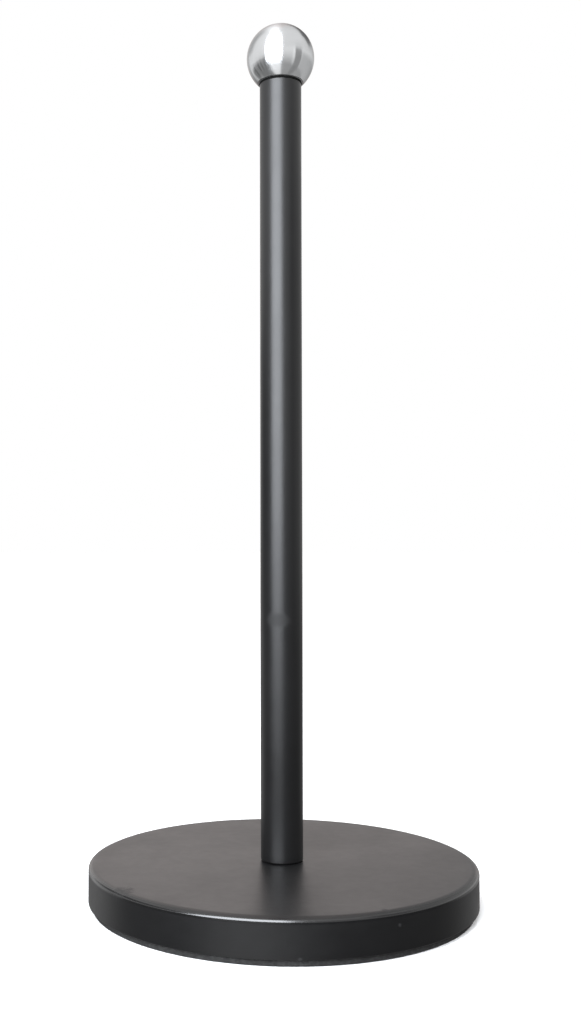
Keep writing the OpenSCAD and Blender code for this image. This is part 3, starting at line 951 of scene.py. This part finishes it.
class HOLDER_OT_stage(Operator):
    """Pale floor, soft studio light and the camera"""

    bl_idname = "holder.stage"
    bl_label = "Stage"

    def execute(self, context):
        s = context.scene.holder_stage
        self.camera(context, s)
        self.floor(context, s)
        self.softbox(context, s)
        self.wall(context, s, "panel_wall", (5, 160), self.panel_light)
        self.wall(context, s, "curtain_wall", (-135, -51), self.curtain_light)
        self.studio(context, s)
        context.scene.view_settings.view_transform = "Standard"
        context.scene.view_settings.look = "None"
        return {"FINISHED"}

    def camera(self, context, s):
        """A camera in front of the post and below its middle, that looks slightly up and to the left."""
        data = bpy.data.cameras.new("camera")
        data.sensor_width = 36
        data.lens = s.lens
        data.shift_x = s.shift
        data.clip_start = 0.01
        data.clip_end = 1000
        camera = bpy.data.objects.new("camera", data)
        camera.location = (0, -s.camera_distance, s.camera_height)
        camera.rotation_euler = (math.pi / 2 + s.camera_tilt, 0, s.camera_aim)
        context.scene.collection.objects.link(camera)
        context.scene.camera = camera

    def floor(self, context, s):
        """A pale floor that the object's own reflections leave out."""
        h = s.floor_size
        mesh = bpy.data.meshes.new("floor")
        mesh.from_pydata([(-h, -h, 0), (h, -h, 0), (h, h, 0), (-h, h, 0)], [], [(0, 1, 2, 3)])
        floor = bpy.data.objects.new("floor", mesh)
        context.scene.collection.objects.link(floor)
        material = bpy.data.materials.new("pale_floor")
        material.use_nodes = True
        shader = material.node_tree.nodes["Principled BSDF"]
        shader.inputs["Base Color"].default_value = (*s.floor, 1)
        shader.inputs["Roughness"].default_value = 0.9
        shader.inputs["Specular IOR Level"].default_value = 0.0
        shader.inputs["Emission Color"].default_value = (1, 1, 1, 1)
        shader.inputs["Emission Strength"].default_value = s.floor_glow
        mesh.materials.append(material)
        floor.visible_glossy = False
        floor.visible_diffuse = False

    def softbox(self, context, s):
        """A tall softbox in front, to the left of the camera."""
        data = bpy.data.lights.new("softbox", "AREA")
        data.shape = "RECTANGLE"
        data.size, data.size_y = s.softbox_width, s.softbox_height
        data.energy = s.softbox_power
        data.color = s.softbox_tint
        light = bpy.data.objects.new("softbox", data)
        side, away = s.softbox_side, s.softbox_away
        light.location = (-away * math.sin(side), -away * math.cos(side), s.softbox_middle)
        light.rotation_euler = (math.pi / 2, 0, -side)
        light.visible_camera = False
        context.scene.collection.objects.link(light)

    def wall(self, context, s, name, sides, light):
        """A curved wall that only reflections see: (away sin a, -away cos a, z) on a grid of a and z, with
        a from sides in degrees. light paints it."""
        count = 48
        side = np.radians(np.linspace(*sides, count + 1))[:, None]
        height = np.array([s.wall_low, s.wall_high])[None]
        away = s.wall_away
        grid = np.stack(np.broadcast_arrays(away * np.sin(side), -away * np.cos(side), height), -1)
        k = np.arange(count)[:, None] * 2
        mesh = bpy.data.meshes.new(name)
        mesh.from_pydata(grid.reshape(-1, 3).tolist(), [], (k + np.array([[0, 1, 3, 2]])).tolist())
        wall = bpy.data.objects.new(name, mesh)
        context.scene.collection.objects.link(wall)
        material = bpy.data.materials.new(name)
        material.use_nodes = True
        tree = material.node_tree
        shader = tree.nodes["Principled BSDF"]
        shader.inputs["Base Color"].default_value = (0, 0, 0, 1)
        shader.inputs["Specular IOR Level"].default_value = 0.0
        shader.inputs["Emission Strength"].default_value = 1.0
        parts = node_of(tree, "ShaderNodeSeparateXYZ")
        tree.links.new(tree.nodes.new("ShaderNodeTexCoord").outputs["Object"], parts.inputs[0])
        across = side_of(tree, parts.outputs[0], parts.outputs[1])
        up = calc(tree, "DIVIDE", parts.outputs[2], MM)
        foot, fade = s.wall_low / MM, 55
        bright = ramp(tree, up, foot, foot + fade, s.deep, s.dome)
        tree.links.new(light(tree, bright, across, up), shader.inputs["Emission Color"])
        mesh.materials.append(material)
        wall.visible_camera = False
        wall.visible_diffuse = False
        wall.visible_shadow = False

    def panel_light(self, tree, bright, across, up):
        """A bright panel, brighter at its top and its right edge, and a grey wall beside it. Boxes are in
        degrees across and millimetres up."""
        glow = ramp(tree, up, 95, 425, 0.5, 1.08)
        edge_glow = calc(tree, "ADD", glow, 0.18)
        for box, value, soft in (
            ((75, 170, 90, 395), 0.6, (6, 30)),  # grey wall on the far right
            ((50, 75, 90, 432), 0.36, (1.5, 5)),  # dark strip beside the panel
            ((5, 50, 90, 424), glow, (0.8, 2)),  # panel
            ((42, 50, 90, 424), edge_glow, (1, 2)),  # the panel's right edge
        ):
            bright = patch(tree, bright, (across, up), box, value, soft)
        return bright

    def curtain_light(self, tree, bright, across, up):
        """A dark curtain with upright folds, under a bright strip."""
        place = node_of(tree, "ShaderNodeCombineXYZ")
        folds_per_degree = 0.14
        tree.links.new(calc(tree, "MULTIPLY", across, folds_per_degree), place.inputs[0])
        folds = ramp(tree, noise(tree, place.outputs[0], 1.0, 3.0), 0.35, 0.65, 0.08, 0.38)
        return patch(tree, bright, (across, up), (-130, -51, 90, 285), folds, (6, 18))

    def studio(self, context, s):
        """A world that reflections see as a lit studio and the camera sees as plain white."""
        world = bpy.data.worlds.new("studio")
        world.use_nodes = True
        context.scene.world = world
        tree = world.node_tree
        background = tree.nodes["Background"]
        parts = node_of(tree, "ShaderNodeSeparateXYZ")
        tree.links.new(tree.nodes.new("ShaderNodeTexCoord").outputs["Generated"], parts.inputs[0])
        x, y, z = parts.outputs
        around = side_of(tree, x, y)
        above = calc(tree, "MULTIPLY", calc(tree, "ARCSINE", z), math.degrees(1))
        tree.links.new(self.sky_light(tree, s, around, above, x, z), background.inputs["Strength"])
        behind = ramp(tree, calc(tree, "ABSOLUTE", around), 145, 168)
        warm = blend_of(tree, behind, (1, 1, 1, 1), (1, 0.93, 0.91, 1), "RGBA")
        tree.links.new(warm, background.inputs["Color"])
        seen = node_of(tree, "ShaderNodeBackground", in_Color=(1, 1, 1, 1), in_Strength=1.0)
        ray = tree.nodes.new("ShaderNodeLightPath")
        mix = tree.nodes.new("ShaderNodeMixShader")
        tree.links.new(ray.outputs["Is Camera Ray"], mix.inputs[0])
        tree.links.new(background.outputs[0], mix.inputs[1])
        tree.links.new(seen.outputs[0], mix.inputs[2])
        tree.links.new(mix.outputs[0], tree.nodes["World Output"].inputs["Surface"])

    def sky_light(self, tree, s, around, above, x, z):
        """Brightness of the studio: bright above the table, dim below it, with soft patches. Boxes are in
        degrees around and above, and the overhead ones in the direction's x and z."""
        bright = ramp(tree, above, -14, 18, s.below, s.dome)
        for box, value, soft in (
            ((-200, -105, -28, -6), 0.3, (15, 8)),  # level with the base, behind on the left
            ((115, 200, -28, -6), 0.4, (12, 8)),  # level with the base, behind on the right
            ((-200, 200, -100, -34), s.deep, (5, 6)),  # far below, all round
            ((-108, -47, -100, -28), 0.22, (5, 6)),  # under the curtain
            ((50, 74, -100, -28), 0.33, (3, 6)),  # under the dark strip beside the panel
            ((-44, 2, -100, -15), 1.0, (7, 5)),  # under the softbox
            ((-145, -112, -20, 60), 0.62, (10, 12)),  # grey wall on the far left
        ):
            bright = patch(tree, bright, (around, above), box, value, soft)
        for box, value, soft in (
            ((0.06, 1.5, 0.6, 1.5), 1.16, (0.06, 0.15)),  # right half of the ceiling
            ((-0.36, -0.03, 0.8, 1.5), 1.35, (0.12, 0.2)),  # bright band along the ceiling
        ):
            bright = patch(tree, bright, (x, z), box, value, soft)
        dark_corner = (120, 172, 30, 52)
        bright = patch(tree, bright, (around, above), dark_corner, 0.25, (5, 5))
        return calc(tree, "MULTIPLY", bright, ramp(tree, x, -0.2, 0.18, 1.06, 0.88))


# ---------------------------------------------------------------- add-on

class HOLDER_PT_panel(Panel):
    """Settings, and a button for each piece or group of pieces and for the stage"""

    bl_idname = "HOLDER_PT_panel"
    bl_label = "Paper towel holder"
    bl_space_type = "VIEW_3D"
    bl_region_type = "UI"
    bl_category = "Towel holder"

    def draw(self, context):
        """Lists every setting, then a button for every operator."""
        for group in SETTINGS:
            settings = getattr(context.scene, group)
            for name in settings.__annotations__:
                self.layout.prop(settings, name)
        for operator in OPERATORS:
            self.layout.operator(operator.bl_idname)


SETTINGS = {"holder_shapes": HolderShapes, "holder_finish": HolderFinish, "holder_stage": HolderStage}
OPERATORS = (
    HOLDER_OT_stage, HOLDER_OT_base_shell, HOLDER_OT_foot_pad, HOLDER_OT_bottom_plate, HOLDER_OT_ballast,
    HOLDER_OT_base_bolt, HOLDER_OT_washers, HOLDER_OT_post_tube, HOLDER_OT_plugs, HOLDER_OT_finial_ball,
    HOLDER_OT_finial_bush, HOLDER_OT_finial_stud,
)


def register():
    """Adds the settings, operators and panel to Blender."""
    for name, group in SETTINGS.items():
        bpy.utils.register_class(group)
        setattr(bpy.types.Scene, name, PointerProperty(type=group))
    for kind in (*OPERATORS, HOLDER_PT_panel):
        bpy.utils.register_class(kind)


def unregister():
    """Takes the panel, operators and settings out again."""
    for kind in (HOLDER_PT_panel, *reversed(OPERATORS)):
        bpy.utils.unregister_class(kind)
    for name, group in SETTINGS.items():
        delattr(bpy.types.Scene, name)
        bpy.utils.unregister_class(group)


def main():
    """Builds every piece and the stage."""
    register()
    for operator in OPERATORS:
        family, name = operator.bl_idname.split(".")
        getattr(getattr(bpy.ops, family), name)()


if __name__ == "__main__":
    main()
